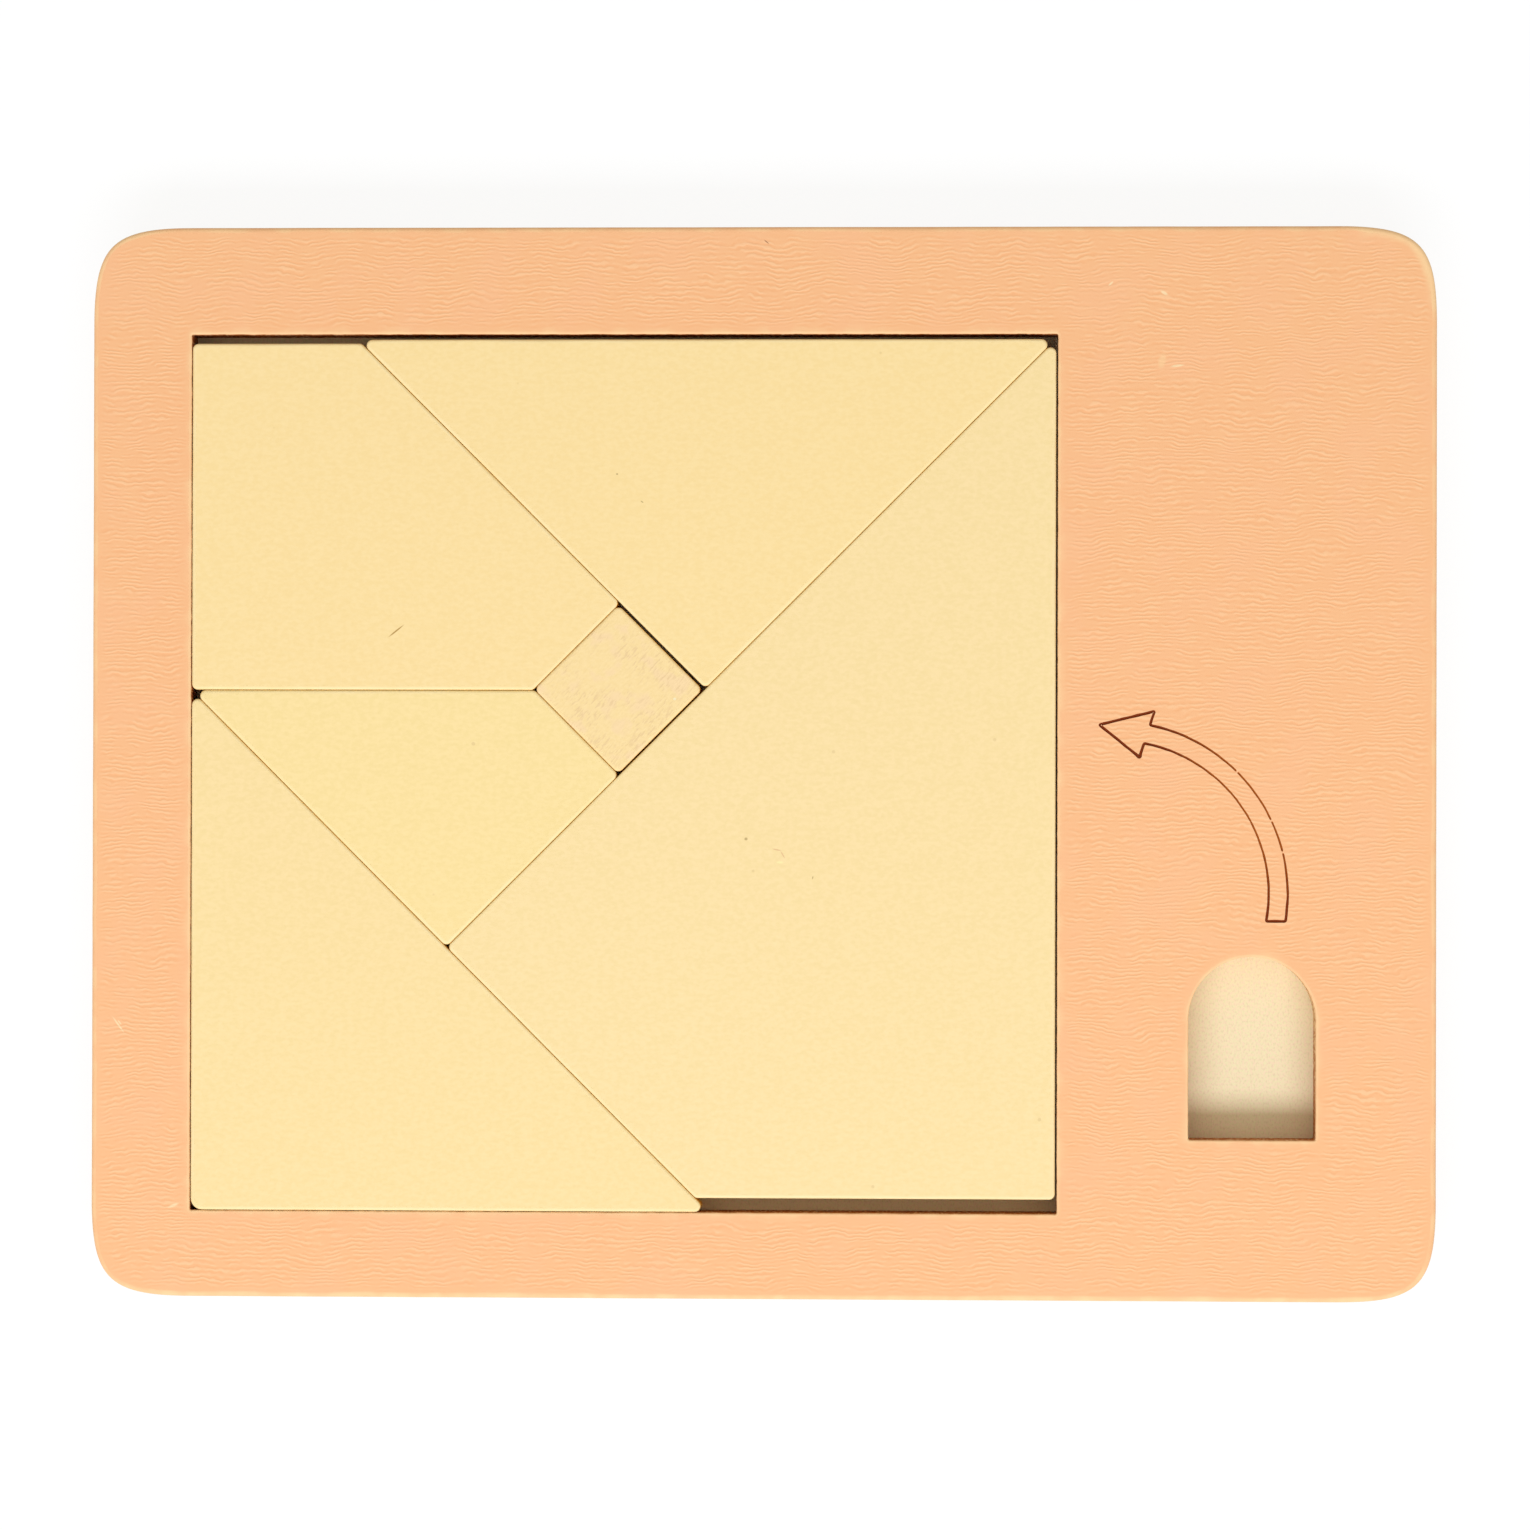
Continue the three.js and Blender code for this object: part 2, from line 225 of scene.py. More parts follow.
# Light: a slightly cool key and a slightly warm sky
KEY_ELEVATION = math.radians(50)
KEY_DISTANCE = 1000
KEY_SIZE = (1200, 350)
KEY_POWER = 8.24  # watts
KEY_COLOUR = (0.853, 0.88, 1)
SKY_STRENGTH = 0.567
SKY_COLOUR = (1, 0.976, 0.868)
FLOOR_REACH = 3000  # to each side
FLOOR_GREY = (0.8, 0.8, 0.8, 1)  # as it lights the tray
FLOOR_SHADED = (0.14, 0.14, 0.14, 1)  # the part of its white that shadows take away
FLOOR_GLOW = 0.88  # the part that they leave


# Outlines: lists of points, each with its outward normal and the most that a ring may be inset there


def arc(centre, radius, start, stop, steps):
    """Points along an arc, with normals that point away from its centre."""
    found = []
    for step in range(steps + 1):
        angle = start + (stop - start) * step / steps
        normal = Vector((math.cos(angle), math.sin(angle)))
        found.append((centre + radius * normal, normal, radius - TIGHTEST_BEND))
    return found


def heading(direction):
    """The angle from the x axis to a direction."""
    return math.atan2(direction.y, direction.x)


def polygon_outline(corners, radii):
    """An anticlockwise convex polygon whose corners are arcs of the given radii."""
    outline = []
    for index, (corner, radius) in enumerate(zip(corners, radii)):
        start = heading(corner - corners[index - 1]) - math.pi / 2
        stop = heading(corners[(index + 1) % len(corners)] - corner) - math.pi / 2
        turn = (stop - start) % (2 * math.pi)
        middle = start + turn / 2
        reach = radius / math.cos(turn / 2)
        centre = corner - reach * Vector((math.cos(middle), math.sin(middle)))
        outline += arc(centre, radius, start, start + turn, TIP_STEPS)
    return outline


def with_side_points(outline, spacing):
    """The same outline with points along its straight stretches too, so that wear can vary along them."""
    filled = []
    for start, stop in zip(outline, outline[1:] + outline[:1]):
        filled.append(start)
        count = round((stop[0] - start[0]).length / spacing)
        for step in range(1, count):
            filled.append((start[0].lerp(stop[0], step / count), start[1], math.inf))
    return filled


def tray_outline(half_length, half_width):
    """The tray's outline, with corners fuller than circles."""
    straight = Vector((half_length - CORNER_REACH, half_width - CORNER_REACH))
    pull = straight + Vector((1, 1)) * CORNER_REACH * CORNER_FULLNESS
    points = interpolate_bezier(
        Vector((half_length, straight.y)),
        Vector((half_length, pull.y)),
        Vector((pull.x, half_width)),
        Vector((straight.x, half_width)),
        CORNER_STEPS,
    )
    normals = [(after - before).orthogonal() * -1 for before, after in zip(points, points[2:])]
    normals = [Vector((1, 0)), *[normal.normalized() for normal in normals], Vector((0, 1))]
    corner = [(point.xy, normal, math.inf) for point, normal in zip(points, normals)]

    def mirrored(x, y):
        sign = Vector((x, y))
        return [(point * sign, normal * sign, reach) for point, normal, reach in corner]

    return corner + mirrored(-1, 1)[::-1] + mirrored(-1, -1) + mirrored(1, -1)[::-1]


def pocket_outline(low, high):
    """A rectangle with a half circle for its upper end."""
    radius = (high.x - low.x) / 2
    inset = Vector((HOLE_CORNER, HOLE_CORNER))
    left, right = low + inset, Vector((high.x - HOLE_CORNER, low.y + HOLE_CORNER))
    arch = Vector((low.x + radius, high.y - radius))
    return [
        *arc(left, HOLE_CORNER, math.pi, 1.5 * math.pi, TIP_STEPS),
        *arc(right, HOLE_CORNER, 1.5 * math.pi, 2 * math.pi, TIP_STEPS),
        *arc(arch, radius, 0, math.pi, ARCH_STEPS),
    ]


def arrow_centre(pocket_middle, pocket_top):
    """The centre of the arrow's bend."""
    return Vector((
        pocket_middle + ARROW_TAIL_OFFSET - math.sqrt(ARROW_RADIUS**2 - ARROW_TAIL_DROP**2),
        pocket_top + ARROW_TAIL_GAP + ARROW_TAIL_DROP,
    ))


def arrow_corners(centre):
    """The arrow's outline, anticlockwise from the tail's outer corner, and its lower barb."""
    neck = ARROW_RADIUS * Vector((math.cos(ARROW_SWEEP), math.sin(ARROW_SWEEP)))
    lean = ARROW_SWEEP - ARROW_HEAD_TILT
    head_back = Vector((math.cos(lean), math.sin(lean)))

    def shaft_line(radius):
        reach = math.sqrt(radius**2 - (ARROW_RADIUS * math.sin(ARROW_HEAD_TILT)) ** 2)
        notch = neck + (reach - ARROW_RADIUS * math.cos(ARROW_HEAD_TILT)) * head_back
        tail = -math.asin(ARROW_TAIL_DROP / radius)
        line = arc(Vector((0, 0)), radius, tail, heading(notch), CORNER_STEPS)
        return [point for point, _, _ in line]

    barb = ARROW_HEAD_WIDTH / 2 * head_back
    tip = neck + ARROW_HEAD_LENGTH * Vector((-math.sin(ARROW_SWEEP), math.cos(ARROW_SWEEP)))
    outer = shaft_line(ARROW_RADIUS + ARROW_SHAFT_WIDTH / 2)
    inner = shaft_line(ARROW_RADIUS - ARROW_SHAFT_WIDTH / 2)
    outline = [centre + point for point in [*outer, neck + barb, tip, neck - barb, *inner[::-1]]]
    return outline, centre + neck - barb


def engraved_outline(corners):
    """The arrow as a laser draws it: even steps, soft corners and a slight wobble."""
    points = []
    for point, after in zip(corners, corners[1:] + corners[:1]):
        count = max(1, round((after - point).length / LINE_STEP))
        points += [point.lerp(after, step / count) for step in range(count)]
    for _ in range(2):
        befores = points[-1:] + points[:-1]
        afters = points[1:] + points[:1]
        points = [
            (before + 2 * point + after) / 4
            for before, point, after in zip(befores, points, afters)
        ]
    outline = []
    for k, point in enumerate(points):
        along = points[(k + 1) % len(points)] - points[k - 1]
        normal = Vector((along.y, -along.x)).normalized()
        outline.append((point + normal * LINE_WOBBLE * stray(point, LINE_WOBBLE_SIZE), normal, math.inf))
    return outline


# Small irregularities


def stray(point, size, seed=0):
    """A smooth value from about -1 to 1 that changes over the given size."""
    return noise.noise(Vector((point.x / size, point.y / size, seed)))


def sanding(point):
    """How much more or less than usual the edge is rounded here."""
    return 1 + SANDING * (stray(point, SANDING_SIZE) + 0.5 * stray(point, SANDING_FINE_SIZE))


# Meshes


class Board:
    """A mesh made of rings of points, with a few values that its material reads kept at each point."""

    VALUES = ("scorch", "sanded", "ripple", "char")

    def __init__(self):
        self.mesh = bmesh.new()
        self.layers = {name: self.mesh.verts.layers.float.new(name) for name in self.VALUES}

    def ring(self, outline, inset, height, **values):
        """A closed ring of points, inset from the outline by a length or by a function of the point."""
        ring = []
        for point, normal, reach in outline:
            place = point - normal * min(reach, inset(point) if callable(inset) else inset)
            level = height(point) if callable(height) else height
            vertex = self.mesh.verts.new((place.x * MM, place.y * MM, level * MM))
            for name, value in values.items():
                vertex[self.layers[name]] = value(point) if callable(value) else value
            ring.append(vertex)
        return ring

    def sweep(self, rings, material=0):
        """Faces between each ring and the next one."""
        for lower, upper in zip(rings, rings[1:]):
            for k in range(len(lower)):
                face = self.mesh.faces.new((lower[k - 1], lower[k], upper[k], upper[k - 1]))
                face.material_index = material

    def crease(self, ring):
        """Keeps the shading of the two sides of a ring apart."""
        for k in range(len(ring)):
            self.mesh.edges.get((ring[k - 1], ring[k])).smooth = False

    def cap(self, ring):
        """One flat face that closes a convex ring."""
        self.mesh.faces.new(ring)

    def fill(self, *rings):
        """A flat face inside the first ring, with the other rings as holes."""
        edges = []
        for ring in rings:
            edges += [self.mesh.edges.get((ring[k - 1], ring[k])) for k in range(len(ring))]
        bmesh.ops.triangle_fill(self.mesh, use_beauty=True, edges=edges, normal=(0, 0, 1))

    def make(self, name, node, body, materials):
        """The finished piece, in place of its CAD node."""
        bmesh.ops.recalc_face_normals(self.mesh, faces=self.mesh.faces)
        data = bpy.data.meshes.new(name)
        self.mesh.to_mesh(data)
        self.mesh.free()
        data.polygons.foreach_set("use_smooth", [True] * len(data.polygons))
        for material in materials:
            data.materials.append(material)
        piece = bpy.data.objects.new(name, data)
        bpy.context.scene.collection.objects.link(piece)
        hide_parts(node)
        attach(piece, body)


def quarter_round(radius):
    """Insets and drops along a rounded edge, from the side to the flat face."""
    angles = [math.pi / 2 * step / ROUND_STEPS for step in range(ROUND_STEPS + 1)]
    return [(radius * (1 - math.cos(angle)), radius * (1 - math.sin(angle))) for angle in angles]


def sanded_edge(board, outline, face, side, radius, wear=1, strip_wear=0, scorch=0):
    """Rings from a board's side over its edge to a strip of its upper face (side 1) or lower one (-1)."""
    rings = []
    for inset, drop in quarter_round(radius):
        rings.append(board.ring(
            outline,
            lambda point, inset=inset: inset * sanding(point),
            lambda point, drop=drop: face - side * drop * sanding(point),
            sanded=wear,
            scorch=scorch * (drop / radius) ** 2,
        ))
    strip = board.ring(outline, lambda point: radius * sanding(point) + SUPPORT, face, sanded=strip_wear)
    return [*rings, strip]


def loose_piece(name, node, body, material):
    """A flat polygon with sanded edges and browned sides."""
    low, high = (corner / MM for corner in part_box(node))
    corners = sharp_corners(node)
    radii = [BLUNT_TIP_RADIUS if is_blunt(corner) else TIP_RADIUS for corner in corners]
    outline = with_side_points(polygon_outline(corners, radii), SIDE_STEP)
    board = Board()
    under = sanded_edge(board, outline, low.z, -1, UNDER_EDGE_RADIUS, scorch=1)
    upper = sanded_edge(board, outline, high.z, 1, EDGE_RADIUS, scorch=1)
    side_low = board.ring(outline, 0, low.z + UNDER_SIDE_CLEAR * UNDER_EDGE_RADIUS, scorch=1)
    side_high = board.ring(outline, 0, high.z - UPPER_SIDE_CLEAR * EDGE_RADIUS, scorch=1)
    board.sweep([*under[::-1], side_low, side_high, *upper])
    board.cap(under[-1])
    board.cap(upper[-1])
    board.make(name, node, body, [material])


def is_blunt(corner):
    """Whether this is the corner in the lower left of the well."""
    well_low = hole_boxes()[0][0]
    return (corner - well_low).length < SHORTEST_SIDE


def sharp_corners(node):
    """The corners of a convex piece's outline, before they are rounded, anticlockwise."""
    points = [vertex.co.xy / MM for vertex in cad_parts[node].data.vertices]
    hull = [points[index] for index in convex_hull_2d(points)]
    sides = [(a, b - a) for a, b in zip(hull, hull[1:] + hull[:1]) if (b - a).length > SHORTEST_SIDE]
    corners = []
    for (start, along), (next_start, next_along) in zip(sides[-1:] + sides[:-1], sides):
        share = (next_start - start).cross(next_along) / along.cross(next_along)
        corners.append(start + share * along)
    return corners


def hole_rings(board, outline, floor, face, wall_brown):
    """Rings up the wall of a hole, over its eased edge and out to where the ripples of the face begin."""

    def ragged(point):
        return HOLE_RAGGED * (stray(point, RAGGED_FINE) + 0.6 * stray(point, RAGGED_COARSE))

    rings = [board.ring(outline, lambda point: -FOOT_RAGGED * ragged(point), floor, scorch=wall_brown)]
    for inset, drop in quarter_round(HOLE_RADIUS):
        rings.append(board.ring(
            outline,
            lambda point, inset=inset: -inset - ragged(point),
            face - drop,
            scorch=lambda point, drop=drop: wall_brown(point) * (drop / HOLE_RADIUS) ** 2,
            sanded=HOLE_WEAR,
        ))
    rings.append(board.ring(outline, -HOLE_RADIUS - SUPPORT, face, sanded=HOLE_WEAR / 2))
    rings.append(board.ring(outline, -HOLE_RADIUS - CALM_HOLE / 2, face, ripple=CALM_HOLE_RIPPLE))
    rings.append(board.ring(outline, -HOLE_RADIUS - CALM_HOLE, face, ripple=1))
    return rings


def groove_rings(board, outline, centre, dwell, face):
    """Rings across the engraved line, from its outer edge to its inner edge."""
    outer_radius = ARROW_RADIUS + ARROW_SHAFT_WIDTH / 2
    breaks = [centre + outer_radius * Vector((math.cos(angle), math.sin(angle))) for angle in LINE_BREAKS]
    shaft_middle = (ARROW_SWEEP - math.asin(ARROW_TAIL_DROP / ARROW_RADIUS)) / 2

    def strength(point):
        """The laser runs fastest along the middle of the shaft, and burns least there."""
        from_middle = abs(heading(point - centre) - shaft_middle) / (ARROW_SWEEP - shaft_middle)
        return LINE_FAINT + (1 - LINE_FAINT) * min(1, from_middle) ** 2

    def unbroken(point):
        nearest = min((point - spot).length for spot in breaks)
        return min(1, max(LINE_BREAK_DEPTH, (nearest / LINE_BREAK) ** 2))

    def half_width(point):
        dwelt = max(0, 1 - (point - dwell).length / LINE_DWELL)
        uneven = 1 + LINE_UNEVEN * stray(point, LINE_UNEVEN_SIZE, 3) + LINE_DWELL_WIDER * dwelt
        kept = LINE_BREAK_WIDTH + (1 - LINE_BREAK_WIDTH) * unbroken(point)
        return LINE_WIDTH / 2 * strength(point) * uneven * kept

    rings = []
    for across, depth in LINE_PROFILE:
        rings.append(board.ring(
            outline,
            lambda point, across=across: -across * half_width(point),
            lambda point, depth=depth: face - depth * LINE_DEPTH * strength(point) * unbroken(point),
            char=lambda point: strength(point) * unbroken(point),
            ripple=1,
        ))
    return rings


def hole_boxes():
    """The corners of the well's and the pocket's boxes, read off the frame's lower face."""
    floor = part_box("frame")[0].z / MM
    clear = CORNER_REACH / 3  # leaves out the tray's curved corners
    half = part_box("frame")[1].xy / MM - Vector((clear, clear))
    pieces_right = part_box("large_kite")[1].x / MM + HOLE_RADIUS * 2
    points = [vertex.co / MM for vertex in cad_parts["frame"].data.vertices]
    points = [point.xy for point in points if abs(point.z - floor) < MM]
    points = [point for point in points if abs(point.x) < half.x and abs(point.y) < half.y]
    groups = (
        [point for point in points if point.x < pieces_right],
        [point for point in points if point.x > pieces_right],
    )
    boxes = []
    for group in groups:
        boxes.append((
            Vector((min(point.x for point in group), min(point.y for point in group))),
            Vector((max(point.x for point in group), max(point.y for point in group))),
        ))
    return boxes


def frame_board(materials):
    """The painted board with the well, the pocket and the engraved arrow."""
    low, high = (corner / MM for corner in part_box("frame"))
    (well_low, well_high), (pocket_low, pocket_high) = hole_boxes()
    well_corners = [
        well_low,
        Vector((well_high.x, well_low.y)),
        well_high,
        Vector((well_low.x, well_high.y)),
    ]
    rim = with_side_points(tray_outline(high.x, high.y), SIDE_STEP)
    well = with_side_points(polygon_outline(well_corners, [HOLE_CORNER] * 4), HOLE_STEP)
    pocket = with_side_points(pocket_outline(pocket_low, pocket_high), HOLE_STEP)
    bend = arrow_centre((pocket_low.x + pocket_high.x) / 2, pocket_high.y)
    arrow_outline, lower_barb = arrow_corners(bend)
    arrow = engraved_outline(arrow_outline)

    def wear(point):
        into_corner = min(abs(point.x) - high.x, abs(point.y) - high.y) + CORNER_REACH
        corner_wear = CORNER_WEAR[math.copysign(1, point.x), math.copysign(1, point.y)]
        return RIM_WEAR + (corner_wear - RIM_WEAR) * min(1, max(0, into_corner / CORNER_WEAR_REACH))

    def strip_wear(point):
        """The wear spreads over the face only where the edge is most worn."""
        return STRIP_WEAR * max(0, wear(point) - STRIP_WEAR_START)

    def wall_brown(point):
        """The pocket's arch is browned less than the other walls: partly less scorch, partly painted light
        on walls that face the lamp.
        """
        up_the_pocket = (point.y - pocket_low.y) / (pocket_high.y - pocket_low.y)
        in_the_arch = min(1, max(0, 1.5 * up_the_pocket - 0.4))
        return 1 - ARCH_PALER * in_the_arch

    board = Board()
    outer = [
        board.ring(rim, GLUE_GROOVE, low.z, sanded=1),
        board.ring(rim, 0, low.z + GLUE_GROOVE, sanded=1),
        board.ring(rim, 0, high.z - RIM_SIDE_CLEAR * RIM_RADIUS, sanded=1),
        *sanded_edge(board, rim, high.z, 1, RIM_RADIUS, wear, strip_wear),
        board.ring(rim, RIM_RADIUS + RIM_BAND, high.z, ripple=CALM_RIM_RIPPLE),
        board.ring(rim, RIM_RADIUS + CALM_RIM, high.z, ripple=1),
    ]
    well_rings = hole_rings(board, well, low.z, high.z, lambda point: 1)
    # The pocket's walls are browned less up the arch: partly less scorch, partly painted light where they
    # face the lamp
    pocket_rings = hole_rings(board, pocket, low.z, high.z, wall_brown)
    groove = groove_rings(board, arrow, bend, lower_barb, high.z)
    for rings in (outer, well_rings, pocket_rings):
        board.sweep(rings)
    board.sweep(groove, material=1)
    board.crease(groove[0])
    board.crease(groove[-1])
    board.fill(outer[-1], well_rings[-1], pocket_rings[-1], groove[0])
    board.fill(groove[-1])
    board.fill(outer[0], well_rings[0], pocket_rings[0])
    board.make("frame_painted", "frame", "tray", materials)


def base_board(material):
    """The bare board under the frame."""
    low, high = (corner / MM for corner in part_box("base_board"))
    rim = with_side_points(tray_outline(high.x, high.y), SIDE_STEP)
    board = Board()
    rings = [
        *sanded_edge(board, rim, low.z, -1, RIM_RADIUS)[::-1],
        board.ring(rim, 0, high.z - GLUE_GROOVE, sanded=1),
        board.ring(rim, GLUE_GROOVE, high.z, sanded=1),
        board.ring(rim, GLUE_GROOVE + SUPPORT, high.z),
    ]
    board.sweep(rings)
    board.cap(rings[0])
    board.cap(rings[-1])
    board.make("base_plywood", "base_board", "tray", [material])


# Materials


class Finish:
    """A Principled material, with short calls that add nodes to it. Sizes and heights are in mm."""

    def __init__(self, name, roughness):
        self.material = bpy.data.materials.new(name)
        self.material.use_nodes = True
        self.tree = self.material.node_tree
        self.shader = self.tree.nodes["Principled BSDF"]
        self.shader.inputs["Roughness"].default_value = roughness
        self.shader.inputs["Specular IOR Level"].default_value = SPECULAR_LEVEL
        self.place = self.node("ShaderNodeTexCoord", {}).outputs["Object"]

    def node(self, kind, inputs, **settings):
        """A new node, with each input linked to a socket or set to a constant."""
        node = self.tree.nodes.new(kind)
        for name, value in settings.items():
            setattr(node, name, value)
        for socket, value in inputs.items():
            if isinstance(value, bpy.types.NodeSocket):
                self.tree.links.new(value, node.inputs[socket])
            else:
                node.inputs[socket].default_value = value
        return node

    def coordinate(self, axis):
        """The place along one axis, in metres."""
        return self.node("ShaderNodeSeparateXYZ", {0: self.place}).outputs[axis]

    def at(self, size, turn=0, vector=None):
        """The place, counted in features of the given size along x, y and z, turned about z in degrees."""
        rotated = self.node(
            "ShaderNodeMapping",
            {"Vector": vector or self.place, "Rotation": (0, 0, math.radians(turn))},
        )
        scale = [1 / (MM * length) for length in size]
        return self.node("ShaderNodeMapping", {"Vector": rotated.outputs[0], "Scale": scale}).outputs[0]

    def noise(self, size, turn=0, detail=2, roughness=0.5):
        """Cloudy values from 0 to 1."""
        sizes = size if isinstance(size, tuple) else (size, size, size)
        inputs = {
            "Vector": self.at(sizes, turn),
            "Scale": 1,
            "Detail": detail,
            "Roughness": roughness,
        }
        return self.node("ShaderNodeTexNoise", inputs).outputs[0]

    def value(self, name):
        """A value that the board keeps at each point."""
        return self.node("ShaderNodeAttribute", {}, attribute_name=name).outputs["Fac"]

    def math(self, operation, first, second=0):
        return self.node("ShaderNodeMath", {0: first, 1: second}, operation=operation).outputs[0]

    def remap(self, value, low, high, to_low=0, to_high=1):
        """A value carried from one range to another, smoothly at both ends and held beyond them."""
        inputs = {"Value": value, "From Min": low, "From Max": high, "To Min": to_low, "To Max": to_high}
        return self.node("ShaderNodeMapRange", inputs, interpolation_type="SMOOTHSTEP").outputs[0]

    def mix(self, first, second, share):
        """A blend of two colours, each a socket or three linear values."""
        colours = [c if isinstance(c, bpy.types.NodeSocket) else (*c, 1) for c in (first, second)]
        inputs = {0: share, 6: colours[0], 7: colours[1]}
        return self.node("ShaderNodeMix", inputs, data_type="RGBA").outputs[2]

    def waves(self, period, bend_size, bend):
        """Values from -1 to 1 in rows along x, bent to and fro over the given sizes."""
        turns = self.math("DIVIDE", self.coordinate("Y"), period * MM)
        wander = self.noise(bend_size, detail=4, roughness=0.6)
        bent = self.math("ADD", turns, self.math("MULTIPLY", wander, bend / period))
        return self.math("SINE", self.math("MULTIPLY", bent, 2 * math.pi))

    def speckle(self, first, second, size):
        """Two colours in small soft spots."""
        return self.mix(first, second, self.remap(self.noise(size, detail=3), 0.32, 0.68))

    def mark(self, place, length, width, turn):
        """1 on a short stroke, seen from above."""
        middle = (-place[0] * MM, -place[1] * MM, 0)
        moved = self.node("ShaderNodeVectorMath", {0: self.place, 1: middle}, operation="ADD").outputs[0]
        along = self.at((length / 2, width / 2, math.inf), -turn, moved)
        distance = self.node("ShaderNodeVectorMath", {0: along}, operation="LENGTH").outputs["Value"]
        return self.remap(distance, 0.4, 1, 1, 0)

    def marked(self, colour, paint, marks):
        """A colour with short strokes of another one on it."""
        for mark in marks:
            colour = self.mix(colour, paint, self.mark(*mark))
        return colour

    def finish(self, colour, height):
        """Sets the colour and the relief."""
        self.tree.links.new(colour, self.shader.inputs["Base Color"])
        bump = self.node("ShaderNodeBump", {"Height": height, "Distance": MM})
        self.tree.links.new(bump.outputs[0], self.shader.inputs["Normal"])
        return self.material


def browned(finish, colour, dark, pale):
    """The laser's brown over a colour where the surface is scorched, and paler where it is less so."""
    lack = finish.math("SUBTRACT", 1, finish.value("scorch"))
    streaks = finish.math("ADD", finish.noise((0.3, 0.3, 1.2)), lack)
    brown = finish.mix(dark, pale, finish.remap(streaks, 0.45, 0.8))
    edge = finish.math("ADD", finish.value("scorch"), finish.math("MULTIPLY", finish.noise(0.3), 0.4))
    return finish.mix(colour, brown, finish.remap(edge, 0.45, 0.95))


def ply_edges(finish):
    """The plies that a sanded edge shows: long grain and end grain in turn."""
    turns = finish.math("PINGPONG", finish.math("DIVIDE", finish.coordinate("Z"), PLY * MM), 1)
    streaks = finish.noise((2.5, 2.5, 0.09))
    long_grain = finish.mix(*LONG_GRAIN, finish.remap(streaks, 0.3, 0.7))
    end_grain = finish.speckle(*END_GRAIN, (0.22, 0.22, 0.3))
    return finish.mix(long_grain, end_grain, finish.remap(turns, 0.44, 0.56))


def frame_paint():
    """Matt apricot paint over veneer, whose fine ripples still show, with their light and shade partly
    painted into the colour.
    """
    finish = Finish("apricot_paint", roughness=0.62)
    waves = finish.waves(RIPPLE, RIPPLE_BEND_SIZE, RIPPLE_BEND)
    patches = finish.remap(finish.noise(RIPPLE_PATCH), 0.32, 0.68, 0.05, 1.35)
    ripples = finish.math("MULTIPLY", waves, finish.math("MULTIPLY", patches, finish.value("ripple")))
    height = finish.math("MULTIPLY", ripples, RIPPLE_HEIGHT)

    # Paler on the ripples and darker between them: painted highlights and painted shade of the ripples,
    # besides their bump
    colour = finish.mix(*APRICOT, finish.remap(ripples, -0.7, 1.1))
    colour = finish.mix(colour, APRICOT_CLOUD, finish.remap(finish.noise(7), 0.45, 0.7, 0, 0.5))
    colour = finish.marked(colour, PALE_MARK_COLOUR, PALE_MARKS)
    colour = finish.marked(colour, PALE_SMEAR_COLOUR, [PALE_SMEAR])
    colour = finish.marked(colour, DARK_MARK_COLOUR, DARK_MARKS)
    uneven = finish.remap(finish.noise(2.5), 0.3, 0.7, -0.15, 0.1)
    bare = finish.math("ADD", finish.value("sanded"), uneven)
    colour = finish.mix(colour, THIN_APRICOT, finish.remap(bare, 0, 0.6))
    colour = finish.mix(colour, ply_edges(finish), finish.remap(bare, 0.65, 0.95))
    return finish.finish(browned(finish, colour, *FRAME_SCORCH), height)


def engraved_line():
    """Charred bottom of the engraved line."""
    finish = Finish("engraved_line", roughness=0.8)
    depth = finish.math("ADD", finish.value("char"), finish.math("MULTIPLY", finish.noise(0.4), 0.3))
    char = finish.mix(*LINE_CHAR, finish.remap(depth, 0.75, 1.1, 1, 0))
    colour = finish.mix(LINE_BARE, char, finish.remap(finish.value("char"), 0.1, 0.45))
    return finish.finish(colour, finish.math("MULTIPLY", finish.noise(0.1), CHAR_RELIEF))


def painted_sides(finish, colour):
    """The sides of a loose piece: scorched like the other cuts, under the yellow paint."""
    return browned(finish, colour, *PIECE_SCORCH)


